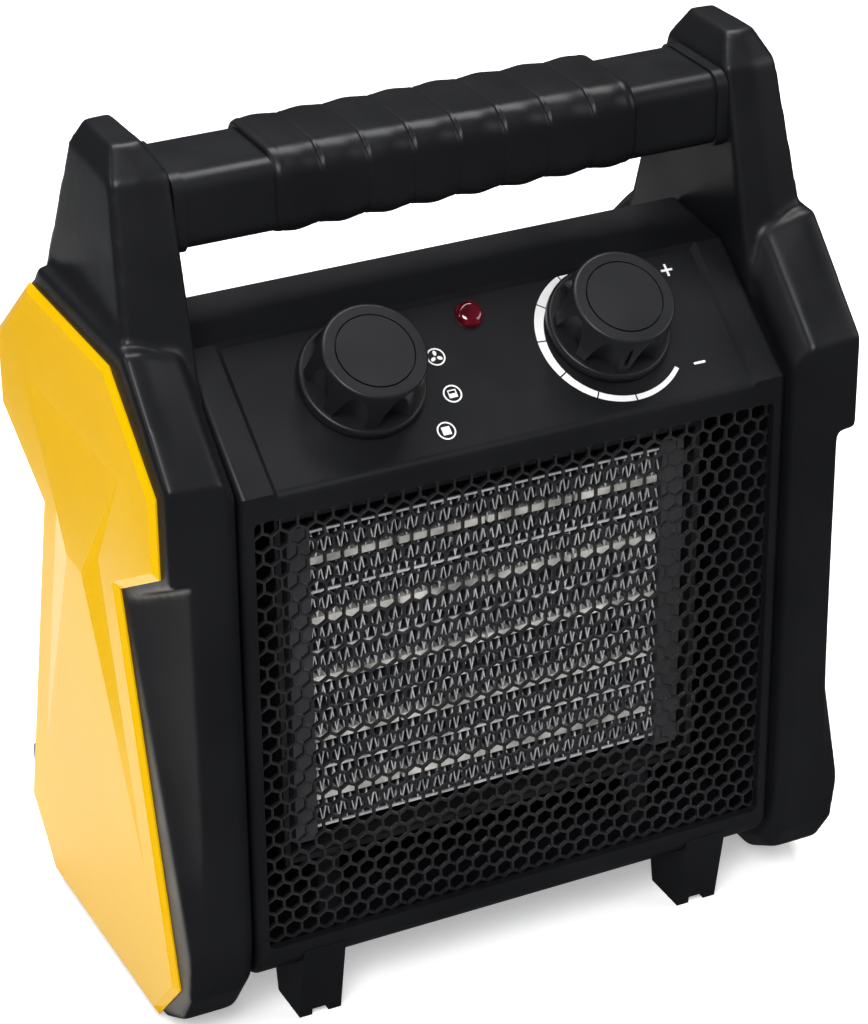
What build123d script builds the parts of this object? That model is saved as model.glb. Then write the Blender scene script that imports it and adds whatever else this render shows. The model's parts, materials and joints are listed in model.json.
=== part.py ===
from build123d import *
import os
from math import hypot, sqrt

# Ceramic fan heater. Millimetres, X to the right, the front faces -Y, z = 0 is the floor,
# and the origin is under the middle of the body.

# Driving dimensions
HALF_WIDTH = 98.0          # half width of the centre housing
HALF_DEPTH = 74.0          # centre housing from the middle to its front and back faces
HOUSING_BOTTOM = 22.0
WALL = 3.0
PANEL_LOW_Z = 203.5        # where the front face bends into the control slope
PANEL_TOP_Y = -31.0        # upper end of the control slope
PANEL_TOP_Z = 235.8
SLOPE_TOP_Z = 238.0        # the same point beside the recessed panel
CHEEK = 1.6                # how far the slope beside the panel stands above it at the front
RIDGE_Z = 241.0
REAR_BEND_Z = 181.0
PANEL_HALF_WIDTH = 85.0

WINDOW_HALF_WIDTH = 93.5   # mesh window
WINDOW_LOW = 35.8
WINDOW_HIGH = 196.0
HEX_PITCH = 6.07
HEX_BAR = 0.85
GRILLE_THICKNESS = 1.2

FRAME_FRONT = 79.0         # side frame outline
FRAME_TOP = 249.0
FRAME_BOTTOM = 4.0
SHOULDER_Y = 47.0
SHOULDER_Z = 215.5
FRAME_EDGE_X = 105.0       # where the inner slope of the side frame ends in front
FRAME_FULL_X = 118.0       # and at the back
FRAME_OUTER_X = 123.6
POST_TOP = 306.0

CORE_HALF_WIDTH = 65.0     # heating core
CORE_LOW = 61.0
CORE_HIGH = 174.5
CORE_FRONT = -49.0
CORE_BACK = -29.0
UNITS = 5
STONE_THICKNESS = 2.6
DIVIDER = 0.8
STONES_PER_BAR = 4

KNOB_X = 44.4              # controls
KNOB_UP_SLOPE = 32.8       # from the lower bend to the knob axis, along the slope
KNOB_HEIGHT = 19.5
SKIRT_RADIUS = 21.2
GRIP_RADIUS = 17.2
LENS_UP_SLOPE = 47.5
LENS_RADIUS = 4.9
SHAFT_RADIUS = 3.0
RUNNING_GAP = 0.06

FAN_Z = 118.0              # fan
FAN_RADIUS = 60.0
BLADES = 7

SCREW_RADIUS = 1.5         # screws
SCREW_HEAD_RADIUS = 3.2
PILLARS = [(-90.6, 29.4), (90.6, 29.4), (-90.6, 196.0), (90.6, 196.0)]
SCREW_SEAT = 9.0
WELL_LENGTH = 64.0

INTAKE_HALF_WIDTH = 66.0   # back of the heater
INTAKE_HALF_HEIGHT = 52.0
GRILLE_SCREW_X = 69.0
GRILLE_SCREW_Z = 40.0
INLET = (-72.0, 40.0)
GLAND_RADIUS = 7.0
GLAND_FLANGE = 5.0

PANEL_PROUD = 2.0          # yellow side panels
WAIST_Z = 154.0
WAIST_RISE = 1.7

HANDLE_Y = -11.5           # handle
HANDLE_Z = 282.5
BAR_DEPTH = 37.0
BAR_HEIGHT = 25.0
BAR_HALF_LENGTH = 94.0
GRIP_HALF_LENGTH = 64.0
GRIP_PITCH = 16.0
FOOT_X = 73.4

CAP_RADIUS = 12.7          # details of the controls
FLUTES = 8
FLUTE_RADIUS = 6.5
FLUTE_LEAN = 10.5
SWITCH_POINTER = 32.0      # degrees from +X on the panel: off
THERMOSTAT_POINTER = -101.0
BUSHING_RADIUS = 4.5

FIN_PITCH = 2.9            # corrugated fins
FIN_FOLD = 1.7
DUCT_HALF_WIDTH = 78.0
DUCT_HALF_HEIGHT = 66.0
DUCT_FRONT = -53.0
SHROUD_Y = 12.0
HUB_RADIUS = 17.0
BLADE_PITCH = 32.0
MOTOR_RADIUS = 24.0
GLAND_BORE = 3.6
LEAD_RADIUS = 1.3

os.makedirs("parts", exist_ok=True)


def save(builder, name):
    builder.part.label = name
    export_step(builder.part, f"parts/{name}.step")


def slope_plane(x, up_slope):
    """Plane on the control panel: its normal points out of the panel, its y up the slope."""
    run = PANEL_TOP_Y + HALF_DEPTH
    rise = PANEL_TOP_Z - PANEL_LOW_Z
    length = hypot(run, rise)
    y = -HALF_DEPTH + up_slope * run / length
    z = PANEL_LOW_Z + up_slope * rise / length
    return Plane(origin=(x, y, z), x_dir=(1, 0, 0), z_dir=(0, -rise / length, run / length))


def side_plane(x):
    """Plane across the heater at x, with its local x along +Y and its local y along +Z."""
    return Plane(origin=(x, 0, 0), x_dir=(0, 1, 0), z_dir=(1, 0, 0))


def back_plane(y):
    """Upright plane at y seen from the front, its normal towards -Y."""
    return Plane(origin=(0, y, 0), x_dir=(1, 0, 0), z_dir=(0, -1, 0))


# ---------------------------------------------------------------- centre housing

with BuildPart() as front_housing:
    with BuildSketch(side_plane(0)):
        with BuildLine():
            Polyline(
                (0, RIDGE_Z),
                (PANEL_TOP_Y, SLOPE_TOP_Z),
                (-HALF_DEPTH, PANEL_LOW_Z + CHEEK),
                (-HALF_DEPTH, HOUSING_BOTTOM + 12),
            )
            RadiusArc((-HALF_DEPTH, HOUSING_BOTTOM + 12), (-HALF_DEPTH + 9, HOUSING_BOTTOM), -14)
            Polyline((-HALF_DEPTH + 9, HOUSING_BOTTOM), (0, HOUSING_BOTTOM), (0, RIDGE_Z))
        make_face()
    extrude(amount=HALF_WIDTH, both=True)
    ends = front_housing.faces().filter_by(Axis.X).edges()
    fillet(ends.filter_by_position(Axis.Y, -HALF_DEPTH, -1), 2.5)
    with BuildSketch(side_plane(0)):
        with BuildLine():
            Polyline(
                (0, RIDGE_Z - WALL),
                (PANEL_TOP_Y, PANEL_TOP_Z - WALL - 1),
                (-HALF_DEPTH + WALL, PANEL_LOW_Z - WALL),
                (-HALF_DEPTH + WALL, HOUSING_BOTTOM + 10),
                (-HALF_DEPTH + 9, HOUSING_BOTTOM + WALL),
                (0, HOUSING_BOTTOM + WALL),
                close=True,
            )
        make_face()
    extrude(amount=HALF_WIDTH - WALL, both=True, mode=Mode.SUBTRACT)
    # The control panel is sunk into the slope between two sloping cheeks.
    with BuildSketch(slope_plane(0, 24)):
        Rectangle(2 * PANEL_HALF_WIDTH, 60)
    extrude(amount=8, taper=-50, mode=Mode.SUBTRACT)
    # Its lower edge is rounded over into the front.
    with BuildSketch(side_plane(0)):
        with BuildLine():
            lip = Polyline(
                (-HALF_DEPTH, PANEL_LOW_Z - 2.5),
                (-HALF_DEPTH - 2, PANEL_LOW_Z - 2.5),
                (-HALF_DEPTH - 2, PANEL_LOW_Z + 3),
                (-HALF_DEPTH + 2, PANEL_LOW_Z + 1.5),
            )
            RadiusArc(lip @ 0, lip @ 1, 5)
        make_face()
    extrude(amount=PANEL_HALF_WIDTH, both=True, mode=Mode.SUBTRACT)
    with BuildSketch(back_plane(-HALF_DEPTH)):
        with Locations((0, (WINDOW_LOW + WINDOW_HIGH) / 2)):
            RectangleRounded(2 * WINDOW_HALF_WIDTH, WINDOW_HIGH - WINDOW_LOW, 2)
    extrude(amount=-WALL, mode=Mode.SUBTRACT)
    for x in (-KNOB_X, KNOB_X):
        with BuildSketch(slope_plane(x, KNOB_UP_SLOPE)):
            Circle(4.6)
        extrude(amount=12, both=True, mode=Mode.SUBTRACT)
    with BuildSketch(slope_plane(0, LENS_UP_SLOPE)):
        Circle(LENS_RADIUS - 0.7)
    extrude(amount=12, both=True, mode=Mode.SUBTRACT)
    # Screw pillars on the side walls, which the back half is pulled onto.
    with BuildSketch(back_plane(0)):
        with Locations(*PILLARS):
            Circle(5)
    extrude(amount=25)
    with BuildSketch(back_plane(0)):
        with Locations(*PILLARS):
            Circle(SCREW_RADIUS)
    extrude(amount=16, mode=Mode.SUBTRACT)
save(front_housing, "front_housing")

with BuildPart() as rear_housing:
    with BuildSketch(side_plane(0)):
        with BuildLine():
            Polyline(
                (0, HOUSING_BOTTOM),
                (HALF_DEPTH - 9, HOUSING_BOTTOM),
            )
            RadiusArc((HALF_DEPTH - 9, HOUSING_BOTTOM), (HALF_DEPTH, HOUSING_BOTTOM + 12), -14)
            Polyline(
                (HALF_DEPTH, HOUSING_BOTTOM + 12),
                (HALF_DEPTH, REAR_BEND_Z),
                (0, RIDGE_Z),
                (0, HOUSING_BOTTOM),
            )
        make_face()
    extrude(amount=HALF_WIDTH, both=True)
    ends = rear_housing.faces().filter_by(Axis.X).edges()
    fillet(ends.filter_by_position(Axis.Y, 1, HALF_DEPTH), 2.5)
    with BuildSketch(side_plane(0)):
        with BuildLine():
            Polyline(
                (0, HOUSING_BOTTOM + WALL),
                (HALF_DEPTH - 9, HOUSING_BOTTOM + WALL),
                (HALF_DEPTH - WALL, HOUSING_BOTTOM + 10),
                (HALF_DEPTH - WALL, REAR_BEND_Z - 1.5),
                (0, RIDGE_Z - WALL - 1),
                close=True,
            )
        make_face()
    extrude(amount=HALF_WIDTH - WALL, both=True, mode=Mode.SUBTRACT)
    # Tongue that locates the back half inside the front half.
    with BuildSketch(back_plane(3)):
        with Locations((0, 112)):
            Rectangle(2 * (HALF_WIDTH - WALL), 150)
            Rectangle(2 * (HALF_WIDTH - WALL) - 3, 150, mode=Mode.SUBTRACT)
    extrude(amount=6)
    # Deep screw wells, open at the back.
    with BuildSketch(back_plane(0)):
        with Locations(*PILLARS):
            Circle(5.5)
    extrude(amount=-WELL_LENGTH)
    with BuildSketch(side_plane(0)):
        with BuildLine():
            Polyline(
                (HALF_DEPTH, REAR_BEND_Z),
                (0, RIDGE_Z),
                (HALF_DEPTH, RIDGE_Z),
                close=True,
            )
        make_face()
    extrude(amount=HALF_WIDTH + 1, both=True, mode=Mode.SUBTRACT)
    with BuildSketch(back_plane(SCREW_SEAT)):
        with Locations(*PILLARS):
            Circle(SCREW_HEAD_RADIUS + 0.4)
    extrude(amount=-HALF_DEPTH, mode=Mode.SUBTRACT)
    with BuildSketch(back_plane(0)):
        with Locations(*PILLARS):
            Circle(SCREW_RADIUS)
    extrude(amount=-HALF_DEPTH, mode=Mode.SUBTRACT)
    with BuildSketch(back_plane(HALF_DEPTH)):
        with Locations((0, FAN_Z)):
            RectangleRounded(2 * INTAKE_HALF_WIDTH, 2 * INTAKE_HALF_HEIGHT, 8)
        with Locations(INLET):
            Circle(GLAND_RADIUS)
    extrude(amount=WALL + 0.1, mode=Mode.SUBTRACT)
save(rear_housing, "rear_housing")

# ---------------------------------------------------------------- grilles

window_height = WINDOW_HIGH - WINDOW_LOW
row_pitch = HEX_PITCH * sqrt(3) / 2
rows = int(window_height / row_pitch) + 2
columns = int(2 * WINDOW_HALF_WIDTH / HEX_PITCH) + 2
sheet = Rectangle(2 * (HALF_WIDTH - WALL) - 0.4, window_height + 5)
meshed = Rectangle(2 * WINDOW_HALF_WIDTH + 1, window_height + 3.4)
cell = RegularPolygon((HEX_PITCH - HEX_BAR) / 2, 6, major_radius=False, rotation=30)
cell_wires = []
for row in range(rows):
    shift = (1 - columns) / 2 + (-0.25 if row % 2 else 0.25)
    z = (row - (rows - 1) / 2) * row_pitch
    for column in range(columns):
        # The cells at the border are cut off behind the edge of the window.
        x = (shift + column) * HEX_PITCH
        opening = Pos(x, z) * cell
        if 0 < row < rows - 1 and 0 < column < columns - 1:
            cell_wires.append(opening.wire())
        else:
            cell_wires.append((opening & meshed).wire())

with BuildPart() as front_grille:
    with BuildSketch(back_plane(-HALF_DEPTH + WALL)):
        add(Pos(0, (WINDOW_LOW + WINDOW_HIGH) / 2) * Face(sheet.wire(), cell_wires))
    extrude(amount=-GRILLE_THICKNESS)
save(front_grille, "front_grille")

GRILLE_HEIGHTS = (FAN_Z - GRILLE_SCREW_Z, FAN_Z + GRILLE_SCREW_Z)
GRILLE_SPOTS = [(x, z) for x in (-GRILLE_SCREW_X, GRILLE_SCREW_X) for z in GRILLE_HEIGHTS]

with BuildPart() as rear_grille:
    with BuildSketch(back_plane(HALF_DEPTH - WALL)):
        with Locations((0, FAN_Z)):
            RectangleRounded(2 * INTAKE_HALF_WIDTH + 12, 2 * INTAKE_HALF_HEIGHT + 12, 8)
            with GridLocations(25, 7.5, 5, 13):
                SlotOverall(21, 4.2, mode=Mode.SUBTRACT)
        with Locations(*GRILLE_SPOTS):
            Circle(SCREW_RADIUS, mode=Mode.SUBTRACT)
    extrude(amount=2)
save(rear_grille, "rear_grille")

# ---------------------------------------------------------------- side frames and panels


# Side frame outlines as (y, z), up the front and down the back, from the outside to the centre.
FRONT_EDGE = [(-52, FRAME_BOTTOM), (-68, 13), (-76.5, 26), (-FRAME_FRONT, 42)]
OUTER_OUTLINE = FRONT_EDGE + [
    (-FRAME_FRONT, SHOULDER_Z),
    (-SHOULDER_Y, FRAME_TOP),
    (28, FRAME_TOP),
    (33, 243),
    (71, 211),
    (71, 42),
    (68.5, 27),
    (62, 13),
    (50, FRAME_BOTTOM),
]
MIDDLE_OUTLINE = FRONT_EDGE + [
    (-FRAME_FRONT, SHOULDER_Z - 1),
    (-SHOULDER_Y + 1, FRAME_TOP - 4.5),
    (27.5, 238),
    (31, 234),
    (70.5, 201),
    (70.5, 42),
    (68, 27.5),
    (61.5, 14.5),
    (50, 8),
]
INNER_OUTLINE = [
    (-50, 13),
    (-64, 20),
    (-71.5, 29),
    (-HALF_DEPTH, 42),
    (-HALF_DEPTH, 204.5),
    (-34, 239.5),
    (27, 233),
    (30, 230.5),
    (70, 198),
    (70, 42),
    (67, 29),
    (60, 20),
    (50, 13),
]
SEAT_OUTLINE = [
    (-50, 18),
    (-61, 24),
    (-67, 32),
    (-69, 42),
    (-69, 202.4),
    (-32, 234.5),
    (25, 228),
    (65, 195),
    (65, 42),
    (62.5, 33),
    (57, 24.5),
    (50, 18),
]
HOLLOW = [
    (-47, 21),
    (-66, 42),
    (-66, 201),
    (-31, 231.5),
    (24, 225),
    (62, 193),
    (62, 182),
    (44, 166),
    (44, 150),
    (62, 100),
    (62, 42),
    (47, 21),
]
DEEP_HOLLOW = [
    (-43, 21),
    (-61, 42),
    (-28, 158),
    (-61, 184),
    (-61, 200),
    (-30, 229),
    (23, 223),
    (58, 191),
    (58, 184),
    (28, 158),
    (56, 42),
    (43, 21),
]
PANEL_FRONT = [(-48, 3), (-69, 26), (-34, 161), (-70, 182), (-70, 210), (-35, 240.5)]
PANEL_OUTLINE = PANEL_FRONT + [(-y, z) for y, z in reversed(PANEL_FRONT)]

# Below the head the outer corners fall away, more and more towards the neck.
CORNERS = (
    (-1, ((45, 116.5, FRAME_FRONT, 79), (200, 116.5, FRAME_FRONT, 22.4))),
    (1, ((45, 110, 71, 68), (200, 104.5, 71, 25.3))),
)
with BuildPart() as corner_cuts:
    for side, levels in CORNERS:
        for z, edge_x, edge_y, rim_y in levels:
            with BuildSketch(Plane.XY.offset(z)):
                with BuildLine():
                    Polyline(
                        (edge_x, side * edge_y),
                        (edge_x, side * 90),
                        (FRAME_OUTER_X + 2, side * 90),
                        (FRAME_OUTER_X + 2, side * (rim_y - 8)),
                        (FRAME_OUTER_X, side * rim_y),
                        close=True,
                    )
                make_face()
        loft(ruled=True)
    with BuildSketch(side_plane(0)):
        for side in (-1, 1):
            with BuildLine():
                Polyline(
                    (side * 100, 0),
                    (side * 100, 194),
                    (side * 29, 155),
                    (side * 8, 0),
                    close=True,
                )
            make_face()
    extrude(amount=150, mode=Mode.INTERSECT)

POST_FOOT = [(123.2, -49.5), (109.5, -51), (HALF_WIDTH, -49.3), (HALF_WIDTH, 35.3), (119.5, 46.3)]
POST_HEAD = [(117.6, -28.3), (107.5, -30), (HALF_WIDTH, -28.8), (HALF_WIDTH, 10.2), (116.3, 11.8)]
POST_CROWN = [(113.6, -19.8), (108, -20.8), (103.3, -20), (104, 6.4), (113.2, 5.6)]

with BuildPart() as post:
    for z, corners in ((222, POST_FOOT), (POST_TOP - 9, POST_HEAD), (POST_TOP, POST_CROWN)):
        with BuildSketch(Plane.XY.offset(z)):
            with BuildLine():
                Polyline(*corners, close=True)
            make_face()
    loft(ruled=True)

with BuildPart() as right_side_frame:
    levels = ((HALF_WIDTH, INNER_OUTLINE), (FRAME_EDGE_X, MIDDLE_OUTLINE), (FRAME_FULL_X, OUTER_OUTLINE))
    for lower, upper in zip(levels, levels[1:]):
        for x, corners in (lower, upper):
            with BuildSketch(side_plane(x)):
                with BuildLine():
                    Polyline(*corners, close=True)
                make_face()
        loft(ruled=True)
    with BuildSketch(side_plane(FRAME_FULL_X)):
        with BuildLine():
            Polyline(*OUTER_OUTLINE, close=True)
        make_face()
    extrude(amount=FRAME_OUTER_X - FRAME_FULL_X)
    add(corner_cuts.part, mode=Mode.SUBTRACT)
    # Shadow groove along the centre housing: only the middle of the frame touches it.
    with BuildSketch(side_plane(HALF_WIDTH)):
        Rectangle(400, 600)
        with BuildLine():
            Polyline(*SEAT_OUTLINE, close=True)
        make_face(mode=Mode.SUBTRACT)
    extrude(amount=1.7, mode=Mode.SUBTRACT)
    add(post.part)
    # Hollow towards the centre housing, deeper behind the side panel and up inside the post.
    for corners, depth in ((HOLLOW, 15), (DEEP_HOLLOW, 22.3)):
        with BuildSketch(side_plane(HALF_WIDTH)):
            with BuildLine():
                Polyline(*corners, close=True)
            make_face()
        extrude(amount=depth, mode=Mode.SUBTRACT)
    for z, width, low_y, high_y in ((215, 12, -38, 20), (POST_TOP - 12, 9, -20, 3)):
        with BuildSketch(Plane.XY.offset(z)):
            with Locations((108.5 + width / 8, (low_y + high_y) / 2)):
                Rectangle(width, high_y - low_y)
    loft(ruled=True, mode=Mode.SUBTRACT)
save(right_side_frame, "right_side_frame")

with BuildPart() as right_side_panel:
    with BuildSketch(side_plane(FRAME_OUTER_X)):
        with BuildLine():
            Polyline(*PANEL_OUTLINE, close=True)
        make_face()
    extrude(amount=PANEL_PROUD)
    rim = right_side_panel.faces().sort_by(Axis.X)[-1].edges()
    chamfer(rim, PANEL_PROUD - 0.6, 2.8)
    # Raised hourglass: it is highest at the waist and fades into the panel at its four tips.
    face_x = FRAME_OUTER_X + PANEL_PROUD
    foot = [(-42, 204), (-19, WAIST_Z + 11), (-46.5, 59), (46.5, 59), (19, WAIST_Z + 11), (42, 204)]
    crest = [(-6.5, WAIST_Z + 0.3), (-6.8, WAIST_Z), (-6.5, WAIST_Z - 0.3)]
    crest += [(-y, z) for y, z in reversed(crest)]
    for x, corners in ((face_x, foot), (face_x + WAIST_RISE, crest)):
        with BuildSketch(side_plane(x)):
            with BuildLine():
                Polyline(*corners, close=True)
            make_face()
    loft(ruled=True)
save(right_side_panel, "right_side_panel")

for source, name in ((right_side_frame, "left_side_frame"), (right_side_panel, "left_side_panel")):
    with BuildPart() as left_half:
        add(mirror(source.part, about=Plane.YZ, mode=Mode.PRIVATE))
    save(left_half, name)

# ---------------------------------------------------------------- handle and feet

with BuildPart() as handle_bar:
    with BuildSketch(side_plane(0)):
        with Locations((HANDLE_Y, HANDLE_Z)):
            RectangleRounded(BAR_DEPTH, BAR_HEIGHT, 6)
            RectangleRounded(BAR_DEPTH - 6, BAR_HEIGHT - 6, 3, mode=Mode.SUBTRACT)
    extrude(amount=BAR_HALF_LENGTH, both=True)
save(handle_bar, "handle_bar")

with BuildPart() as handle_collars:
    with BuildSketch(side_plane(BAR_HALF_LENGTH)):
        with Locations((HANDLE_Y, HANDLE_Z)):
            RectangleRounded(BAR_DEPTH + 1.6, BAR_HEIGHT + 1.6, 6)
    extrude(amount=HALF_WIDTH - BAR_HALF_LENGTH)
    mirror(about=Plane.YZ)
save(handle_collars, "handle_collars")

with BuildPart() as handle_grip:
    with BuildSketch(side_plane(0)):
        with Locations((HANDLE_Y, HANDLE_Z + 0.5)):
            RectangleRounded(BAR_DEPTH + 3.4, BAR_HEIGHT + 4, 8)
    extrude(amount=GRIP_HALF_LENGTH, both=True)
    ends = handle_grip.faces().filter_by(Axis.X).edges()
    fillet(ends, 1.2)
    # Grooves between the finger segments.
    for index in range(-3, 4):
        x = index * GRIP_PITCH
        with BuildSketch(side_plane(x)):
            with Locations((HANDLE_Y, HANDLE_Z + 0.5)):
                Rectangle(BAR_DEPTH + 10, BAR_HEIGHT + 10)
                RectangleRounded(BAR_DEPTH + 1.6, BAR_HEIGHT + 2.2, 7, mode=Mode.SUBTRACT)
        extrude(amount=0.5, both=True, mode=Mode.SUBTRACT)
    with BuildSketch(side_plane(0)):
        with Locations((HANDLE_Y, HANDLE_Z)):
            RectangleRounded(BAR_DEPTH, BAR_HEIGHT, 6)
    extrude(amount=GRIP_HALF_LENGTH + 1, both=True, mode=Mode.SUBTRACT)
save(handle_grip, "handle_grip")

for side, name, housing in ((-1, "front_feet", front_housing), (1, "rear_feet", rear_housing)):
    with BuildPart() as feet:
        for x in (-FOOT_X, FOOT_X):
            with BuildSketch(side_plane(x)):
                with BuildLine():
                    Polyline(
                        (side * 73.6, HOUSING_BOTTOM + 8.5),
                        (side * 68, 0),
                        (side * 50, 0),
                        (side * 46, HOUSING_BOTTOM),
                        (side * 65, HOUSING_BOTTOM),
                        (side * 72, HOUSING_BOTTOM + 9.5),
                        close=True,
                    )
                make_face()
            extrude(amount=7.7, both=True)
        add(housing.part, mode=Mode.SUBTRACT)
        with BuildSketch(Plane.XY):
            with Locations((-FOOT_X, side * 59), (FOOT_X, side * 59)):
                Rectangle(6, 24)
        extrude(amount=2.5, mode=Mode.SUBTRACT)
    save(feet, name)

# ---------------------------------------------------------------- knobs and controls

CONTROLS = ((-KNOB_X, "switch", SWITCH_POINTER), (KNOB_X, "thermostat", THERMOSTAT_POINTER))
for x, control, pointer in CONTROLS:
    base = slope_plane(x, KNOB_UP_SLOPE)
    with BuildPart() as grip:
        with BuildSketch(base.offset(3.4)):
            Circle(GRIP_RADIUS + 2.3)
        with BuildSketch(base.offset(KNOB_HEIGHT)):
            Circle(GRIP_RADIUS)
        loft()
        top_edge = grip.faces().sort_by(Axis(base.origin, base.z_dir))[-1].edges()
        fillet(top_edge, 1.2)
        # Finger flutes: they lean outwards, so that they fade out under the rim.
        first = pointer + 180 / FLUTES
        with Locations(base.offset(11)):
            with PolarLocations(GRIP_RADIUS - 0.8 + FLUTE_RADIUS, FLUTES, start_angle=first):
                Cylinder(FLUTE_RADIUS, 30, rotation=(0, FLUTE_LEAN, 0), mode=Mode.SUBTRACT)

    with BuildPart() as knob:
        with BuildSketch(base.offset(0.8)):
            Circle(SKIRT_RADIUS)
        extrude(amount=3)
        skirt_edge = knob.faces().sort_by(Axis(base.origin, base.z_dir))[-1].edges()
        fillet(skirt_edge, 1.2)
        add(grip.part)
        with BuildSketch(base.offset(0.8)):
            Circle(10)
        extrude(amount=4.2, mode=Mode.SUBTRACT)
        with BuildSketch(base.offset(4)):
            Circle(SHAFT_RADIUS)
        extrude(amount=10, mode=Mode.SUBTRACT)
        with BuildSketch(base.offset(KNOB_HEIGHT)):
            Circle(CAP_RADIUS + 0.5)
        extrude(amount=-1.4, mode=Mode.SUBTRACT)
        # Pointer slot down one rib.
        with BuildSketch(base.offset(7.5)):
            with PolarLocations(GRIP_RADIUS + 1.4, 1, start_angle=pointer):
                Rectangle(3.4, 1.3)
        extrude(amount=8, mode=Mode.SUBTRACT)
    save(knob, f"{control}_knob")

    with BuildPart() as cap:
        with BuildSketch(base.offset(KNOB_HEIGHT - 1.4)):
            Circle(CAP_RADIUS)
        extrude(amount=1.5)
    save(cap, f"{control}_knob_cap")

    with BuildPart() as shaft:
        with BuildSketch(base.offset(-16)):
            Circle(SHAFT_RADIUS)
        extrude(amount=30)
    save(shaft, f"{control}_shaft")

with BuildPart() as control_nuts:
    for x, _, _ in CONTROLS:
        with BuildSketch(slope_plane(x, KNOB_UP_SLOPE).offset(0.05)):
            RegularPolygon(7, 6)
            Circle(BUSHING_RADIUS, mode=Mode.SUBTRACT)
        extrude(amount=2.2)
save(control_nuts, "control_nuts")

with BuildPart() as rotary_switch:
    base = slope_plane(-KNOB_X, KNOB_UP_SLOPE)
    with BuildSketch(base.offset(-4.5)):
        RectangleRounded(30, 27, 3)
    extrude(amount=-18)
    with BuildSketch(base.offset(-22.5)):
        with GridLocations(8, 9, 3, 2):
            Rectangle(4, 0.8)
    extrude(amount=-7)
    with BuildSketch(base.offset(-4.5)):
        Circle(BUSHING_RADIUS)
    extrude(amount=8)
    with BuildSketch(base.offset(4)):
        Circle(SHAFT_RADIUS + RUNNING_GAP)
    extrude(amount=-20.5, mode=Mode.SUBTRACT)
save(rotary_switch, "rotary_switch")

with BuildPart() as thermostat_body:
    base = slope_plane(KNOB_X, KNOB_UP_SLOPE)
    with BuildSketch(base.offset(-4.5)):
        Circle(12)
    extrude(amount=-12)
    with BuildSketch(base.offset(-16.5)):
        RectangleRounded(38, 14, 2)
    extrude(amount=-9)
    with BuildSketch(base.offset(-19)):
        with Locations((-23, 0), (23, 0)):
            Rectangle(9, 6)
    extrude(amount=-1)
    with BuildSketch(base.offset(-4.5)):
        Circle(BUSHING_RADIUS)
    extrude(amount=8)
    with BuildSketch(base.offset(4)):
        Circle(SHAFT_RADIUS + RUNNING_GAP)
    extrude(amount=-20.5, mode=Mode.SUBTRACT)
save(thermostat_body, "thermostat_body")

with BuildPart() as indicator_lens:
    base = slope_plane(0, LENS_UP_SLOPE)
    with BuildSketch(base):
        Circle(LENS_RADIUS)
    extrude(amount=2.7)
    with BuildSketch(base.offset(-4)):
        Circle(LENS_RADIUS - 0.8)
    extrude(amount=4)
    dome_edge = indicator_lens.faces().sort_by(Axis(base.origin, base.z_dir))[-1].edges()
    fillet(dome_edge, 2.5)
    with BuildSketch(base.offset(-4)):
        Circle(2.5)
    extrude(amount=2.5, mode=Mode.SUBTRACT)
save(indicator_lens, "indicator_lens")

with BuildPart() as indicator_lamp:
    base = slope_plane(0, LENS_UP_SLOPE)
    with BuildSketch(base.offset(-4)):
        Circle(2.3)
    extrude(amount=2)
    with BuildSketch(base.offset(-4)):
        Circle(5)
    extrude(amount=-10)
save(indicator_lamp, "indicator_lamp")

# ---------------------------------------------------------------- heating core

unit_height = (CORE_HIGH - CORE_LOW - DIVIDER) / UNITS
fin_height = (unit_height - DIVIDER - STONE_THICKNESS) / 2
core_depth = CORE_BACK - CORE_FRONT

with BuildPart() as ptc_bars:
    pitch = 2 * CORE_HALF_WIDTH / STONES_PER_BAR
    first = CORE_LOW + DIVIDER + fin_height + STONE_THICKNESS / 2
    with BuildSketch(back_plane(CORE_FRONT + 0.6)):
        with Locations((0, first + (UNITS - 1) / 2 * unit_height)):
            with GridLocations(pitch, unit_height, STONES_PER_BAR, UNITS):
                Rectangle(pitch - 1.2, STONE_THICKNESS)
    extrude(amount=-(core_depth - 1.2))
save(ptc_bars, "ptc_bars")

with BuildPart() as fin_dividers:
    with BuildSketch(back_plane(CORE_FRONT)):
        with Locations((0, (CORE_LOW + CORE_HIGH) / 2)):
            with GridLocations(1, unit_height, 1, UNITS + 1):
                Rectangle(2 * CORE_HALF_WIDTH, DIVIDER)
    extrude(amount=-core_depth)
save(fin_dividers, "fin_dividers")

with BuildPart() as fin_strips:
    folds = int(2 * CORE_HALF_WIDTH / FIN_PITCH) * 2
    step = 2 * CORE_HALF_WIDTH / folds
    for unit in range(UNITS):
        for upper in (0, 1):
            low = CORE_LOW + DIVIDER + unit * unit_height + upper * (fin_height + STONE_THICKNESS)
            crest = low + fin_height
            ridge_line = []
            for fold in range(folds + 1):
                z = crest if fold % 2 else low + FIN_FOLD
                ridge_line.append((-CORE_HALF_WIDTH + fold * step, z))
            under_line = [(x, z - FIN_FOLD) for x, z in reversed(ridge_line)]
            with BuildSketch(back_plane(CORE_FRONT)):
                with BuildLine():
                    Polyline(*ridge_line, *under_line, close=True)
                make_face()
            extrude(amount=-core_depth)
save(fin_strips, "fin_strips")

with BuildPart() as heater_end_caps:
    with BuildSketch(back_plane(CORE_FRONT - 2)):
        for side in (-1, 1):
            with Locations((side * (CORE_HALF_WIDTH + 4), (CORE_LOW + CORE_HIGH) / 2)):
                Rectangle(8, CORE_HIGH - CORE_LOW + 6)
    extrude(amount=-(core_depth + 4))
save(heater_end_caps, "heater_end_caps")

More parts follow.
